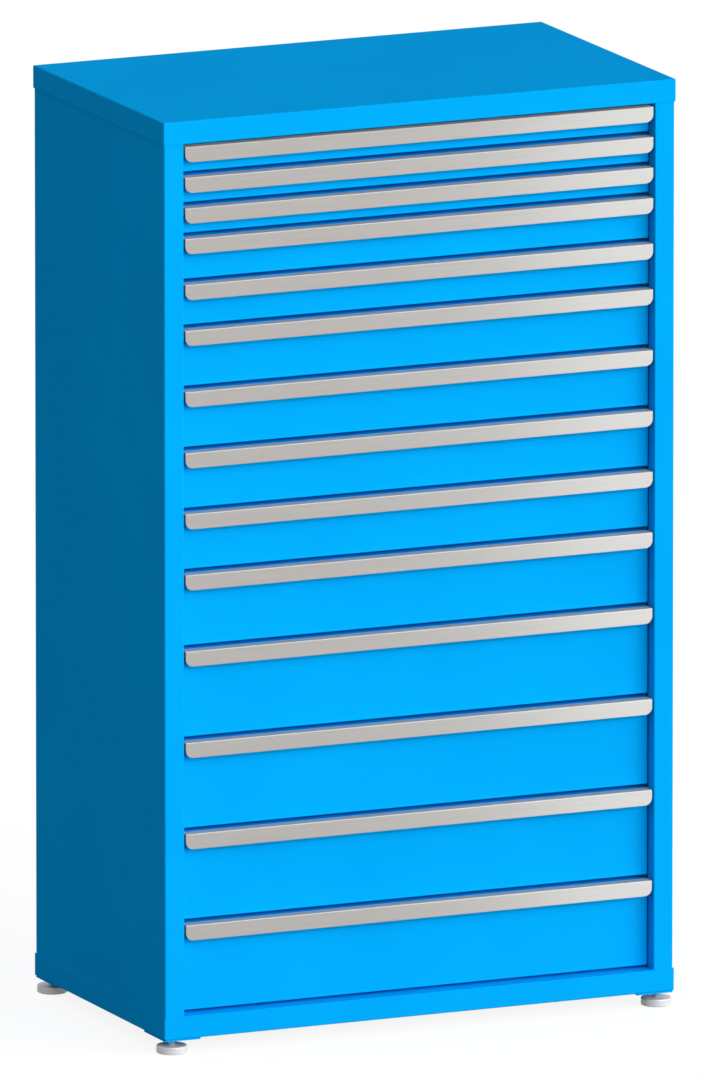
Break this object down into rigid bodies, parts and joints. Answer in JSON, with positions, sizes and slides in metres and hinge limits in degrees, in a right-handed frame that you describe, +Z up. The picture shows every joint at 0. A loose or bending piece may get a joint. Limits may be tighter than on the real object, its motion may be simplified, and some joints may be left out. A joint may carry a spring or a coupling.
{
  "type": "multi-drawer cabinet",
  "caption": "Floor-standing sheet-steel drawer cabinet with full-width grip strips, telescopic slides and levelling feet; drawers grow deeper towards the base.",
  "frame": {"origin": "on the floor, under the middle of the housing", "axes": "+X to the right seen from the front, +Y to the back, +Z up; drawers open towards -Y"},
  "size_m": [0.906, 0.531, 1.5285],
  "materials": {
    "blue_powder_coat": "semi-gloss powder coat, bright sky blue",
    "satin_aluminium": "satin anodised, fine grain along the strip",
    "zinc_plated_steel": "bright zinc plating",
    "light_grey_foot": "satin light grey"
  },
  "bodies": {
    "cabinet": {"top_cap": "blue_powder_coat", "base_pan": "blue_powder_coat", "left_side_panel": "blue_powder_coat", "right_side_panel": "blue_powder_coat", "back_panel": "blue_powder_coat", "back_panel_rivets": "zinc_plated_steel", "slide_posts": "blue_powder_coat", "cabinet_rails": "zinc_plated_steel", "corner_plates": "blue_powder_coat", "foot_nuts": "zinc_plated_steel"},
    "drawer_01": {"drawer_01": "blue_powder_coat", "handle_01": "satin_aluminium"},
    "slide_01": {"slide_01": "zinc_plated_steel"},
    "drawer_02": {"drawer_02": "blue_powder_coat", "handle_02": "satin_aluminium"},
    "slide_02": {"slide_02": "zinc_plated_steel"},
    "drawer_03": {"drawer_03": "blue_powder_coat", "handle_03": "satin_aluminium"},
    "slide_03": {"slide_03": "zinc_plated_steel"},
    "drawer_04": {"drawer_04": "blue_powder_coat", "handle_04": "satin_aluminium"},
    "slide_04": {"slide_04": "zinc_plated_steel"},
    "drawer_05": {"drawer_05": "blue_powder_coat", "handle_05": "satin_aluminium"},
    "slide_05": {"slide_05": "zinc_plated_steel"},
    "drawer_06": {"drawer_06": "blue_powder_coat", "handle_06": "satin_aluminium"},
    "slide_06": {"slide_06": "zinc_plated_steel"},
    "drawer_07": {"drawer_07": "blue_powder_coat", "handle_07": "satin_aluminium"},
    "slide_07": {"slide_07": "zinc_plated_steel"},
    "drawer_08": {"drawer_08": "blue_powder_coat", "handle_08": "satin_aluminium"},
    "slide_08": {"slide_08": "zinc_plated_steel"},
    "drawer_09": {"drawer_09": "blue_powder_coat", "handle_09": "satin_aluminium"},
    "slide_09": {"slide_09": "zinc_plated_steel"},
    "drawer_10": {"drawer_10": "blue_powder_coat", "handle_10": "satin_aluminium"},
    "slide_10": {"slide_10": "zinc_plated_steel"},
    "drawer_11": {"drawer_11": "blue_powder_coat", "handle_11": "satin_aluminium"},
    "slide_11": {"slide_11": "zinc_plated_steel"},
    "drawer_12": {"drawer_12": "blue_powder_coat", "handle_12": "satin_aluminium"},
    "slide_12": {"slide_12": "zinc_plated_steel"},
    "drawer_13": {"drawer_13": "blue_powder_coat", "handle_13": "satin_aluminium"},
    "slide_13": {"slide_13": "zinc_plated_steel"},
    "drawer_14": {"drawer_14": "blue_powder_coat", "handle_14": "satin_aluminium"},
    "slide_14": {"slide_14": "zinc_plated_steel"},
    "foot_pad_front_left": {"foot_pad_front_left": "light_grey_foot"},
    "foot_stud_front_left": {"foot_stud_front_left": "zinc_plated_steel"},
    "foot_pad_front_right": {"foot_pad_front_right": "light_grey_foot"},
    "foot_stud_front_right": {"foot_stud_front_right": "zinc_plated_steel"},
    "foot_pad_rear_left": {"foot_pad_rear_left": "light_grey_foot"},
    "foot_stud_rear_left": {"foot_stud_rear_left": "zinc_plated_steel"},
    "foot_pad_rear_right": {"foot_pad_rear_right": "light_grey_foot"},
    "foot_stud_rear_right": {"foot_stud_rear_right": "zinc_plated_steel"}
  },
  "joints": [
    {"name": "drawer_01_pull", "type": "slide", "parent": "cabinet", "child": "drawer_01", "axis": [0, -1, 0], "range_m": [0, 0.46]},
    {"name": "slide_01_run", "type": "slide", "parent": "cabinet", "child": "slide_01", "axis": [0, -1, 0], "range_m": [0, 0.23]},
    {"name": "drawer_02_pull", "type": "slide", "parent": "cabinet", "child": "drawer_02", "axis": [0, -1, 0], "range_m": [0, 0.46]},
    {"name": "slide_02_run", "type": "slide", "parent": "cabinet", "child": "slide_02", "axis": [0, -1, 0], "range_m": [0, 0.23]},
    {"name": "drawer_03_pull", "type": "slide", "parent": "cabinet", "child": "drawer_03", "axis": [0, -1, 0], "range_m": [0, 0.46]},
    {"name": "slide_03_run", "type": "slide", "parent": "cabinet", "child": "slide_03", "axis": [0, -1, 0], "range_m": [0, 0.23]},
    {"name": "drawer_04_pull", "type": "slide", "parent": "cabinet", "child": "drawer_04", "axis": [0, -1, 0], "range_m": [0, 0.46]},
    {"name": "slide_04_run", "type": "slide", "parent": "cabinet", "child": "slide_04", "axis": [0, -1, 0], "range_m": [0, 0.23]},
    {"name": "drawer_05_pull", "type": "slide", "parent": "cabinet", "child": "drawer_05", "axis": [0, -1, 0], "range_m": [0, 0.46]},
    {"name": "slide_05_run", "type": "slide", "parent": "cabinet", "child": "slide_05", "axis": [0, -1, 0], "range_m": [0, 0.23]},
    {"name": "drawer_06_pull", "type": "slide", "parent": "cabinet", "child": "drawer_06", "axis": [0, -1, 0], "range_m": [0, 0.46]},
    {"name": "slide_06_run", "type": "slide", "parent": "cabinet", "child": "slide_06", "axis": [0, -1, 0], "range_m": [0, 0.23]},
    {"name": "drawer_07_pull", "type": "slide", "parent": "cabinet", "child": "drawer_07", "axis": [0, -1, 0], "range_m": [0, 0.46]},
    {"name": "slide_07_run", "type": "slide", "parent": "cabinet", "child": "slide_07", "axis": [0, -1, 0], "range_m": [0, 0.23]},
    {"name": "drawer_08_pull", "type": "slide", "parent": "cabinet", "child": "drawer_08", "axis": [0, -1, 0], "range_m": [0, 0.46]},
    {"name": "slide_08_run", "type": "slide", "parent": "cabinet", "child": "slide_08", "axis": [0, -1, 0], "range_m": [0, 0.23]},
    {"name": "drawer_09_pull", "type": "slide", "parent": "cabinet", "child": "drawer_09", "axis": [0, -1, 0], "range_m": [0, 0.46]},
    {"name": "slide_09_run", "type": "slide", "parent": "cabinet", "child": "slide_09", "axis": [0, -1, 0], "range_m": [0, 0.23]},
    {"name": "drawer_10_pull", "type": "slide", "parent": "cabinet", "child": "drawer_10", "axis": [0, -1, 0], "range_m": [0, 0.46]},
    {"name": "slide_10_run", "type": "slide", "parent": "cabinet", "child": "slide_10", "axis": [0, -1, 0], "range_m": [0, 0.23]},
    {"name": "drawer_11_pull", "type": "slide", "parent": "cabinet", "child": "drawer_11", "axis": [0, -1, 0], "range_m": [0, 0.46]},
    {"name": "slide_11_run", "type": "slide", "parent": "cabinet", "child": "slide_11", "axis": [0, -1, 0], "range_m": [0, 0.23]},
    {"name": "drawer_12_pull", "type": "slide", "parent": "cabinet", "child": "drawer_12", "axis": [0, -1, 0], "range_m": [0, 0.46]},
    {"name": "slide_12_run", "type": "slide", "parent": "cabinet", "child": "slide_12", "axis": [0, -1, 0], "range_m": [0, 0.23]},
    {"name": "drawer_13_pull", "type": "slide", "parent": "cabinet", "child": "drawer_13", "axis": [0, -1, 0], "range_m": [0, 0.46]},
    {"name": "slide_13_run", "type": "slide", "parent": "cabinet", "child": "slide_13", "axis": [0, -1, 0], "range_m": [0, 0.23]},
    {"name": "drawer_14_pull", "type": "slide", "parent": "cabinet", "child": "drawer_14", "axis": [0, -1, 0], "range_m": [0, 0.46]},
    {"name": "slide_14_run", "type": "slide", "parent": "cabinet", "child": "slide_14", "axis": [0, -1, 0], "range_m": [0, 0.23]},
    {"name": "foot_pad_front_left_rise", "type": "slide", "parent": "cabinet", "child": "foot_pad_front_left", "axis": [0, 0, 1], "range_m": [-0.01925, 0.00788]},
    {"name": "foot_stud_front_left_turn", "type": "hinge", "parent": "foot_pad_front_left", "child": "foot_stud_front_left", "pos_m": [-0.428, -0.2405, 0.0125], "axis": [0, 0, 1], "range_deg": [-3961, 1621]},
    {"name": "foot_pad_front_right_rise", "type": "slide", "parent": "cabinet", "child": "foot_pad_front_right", "axis": [0, 0, 1], "range_m": [-0.01925, 0.00788]},
    {"name": "foot_stud_front_right_turn", "type": "hinge", "parent": "foot_pad_front_right", "child": "foot_stud_front_right", "pos_m": [0.428, -0.2405, 0.0125], "axis": [0, 0, 1], "range_deg": [-3961, 1621]},
    {"name": "foot_pad_rear_left_rise", "type": "slide", "parent": "cabinet", "child": "foot_pad_rear_left", "axis": [0, 0, 1], "range_m": [-0.01925, 0.00788]},
    {"name": "foot_stud_rear_left_turn", "type": "hinge", "parent": "foot_pad_rear_left", "child": "foot_stud_rear_left", "pos_m": [-0.428, 0.2405, 0.0125], "axis": [0, 0, 1], "range_deg": [-3961, 1621]},
    {"name": "foot_pad_rear_right_rise", "type": "slide", "parent": "cabinet", "child": "foot_pad_rear_right", "axis": [0, 0, 1], "range_m": [-0.01925, 0.00788]},
    {"name": "foot_stud_rear_right_turn", "type": "hinge", "parent": "foot_pad_rear_right", "child": "foot_stud_rear_right", "pos_m": [0.428, 0.2405, 0.0125], "axis": [0, 0, 1], "range_deg": [-3961, 1621]}
  ],
  "couplings": [
    {"joint": "slide_01_run", "follows": "drawer_01_pull", "ratio": 0.5},
    {"joint": "slide_02_run", "follows": "drawer_02_pull", "ratio": 0.5},
    {"joint": "slide_03_run", "follows": "drawer_03_pull", "ratio": 0.5},
    {"joint": "slide_04_run", "follows": "drawer_04_pull", "ratio": 0.5},
    {"joint": "slide_05_run", "follows": "drawer_05_pull", "ratio": 0.5},
    {"joint": "slide_06_run", "follows": "drawer_06_pull", "ratio": 0.5},
    {"joint": "slide_07_run", "follows": "drawer_07_pull", "ratio": 0.5},
    {"joint": "slide_08_run", "follows": "drawer_08_pull", "ratio": 0.5},
    {"joint": "slide_09_run", "follows": "drawer_09_pull", "ratio": 0.5},
    {"joint": "slide_10_run", "follows": "drawer_10_pull", "ratio": 0.5},
    {"joint": "slide_11_run", "follows": "drawer_11_pull", "ratio": 0.5},
    {"joint": "slide_12_run", "follows": "drawer_12_pull", "ratio": 0.5},
    {"joint": "slide_13_run", "follows": "drawer_13_pull", "ratio": 0.5},
    {"joint": "slide_14_run", "follows": "drawer_14_pull", "ratio": 0.5},
    {"joint": "foot_stud_front_left_turn", "follows": "foot_pad_front_left_rise", "rad_per_m": 3590.4},
    {"joint": "foot_stud_front_right_turn", "follows": "foot_pad_front_right_rise", "rad_per_m": 3590.4},
    {"joint": "foot_stud_rear_left_turn", "follows": "foot_pad_rear_left_rise", "rad_per_m": 3590.4},
    {"joint": "foot_stud_rear_right_turn", "follows": "foot_pad_rear_right_rise", "rad_per_m": 3590.4}
  ]
}
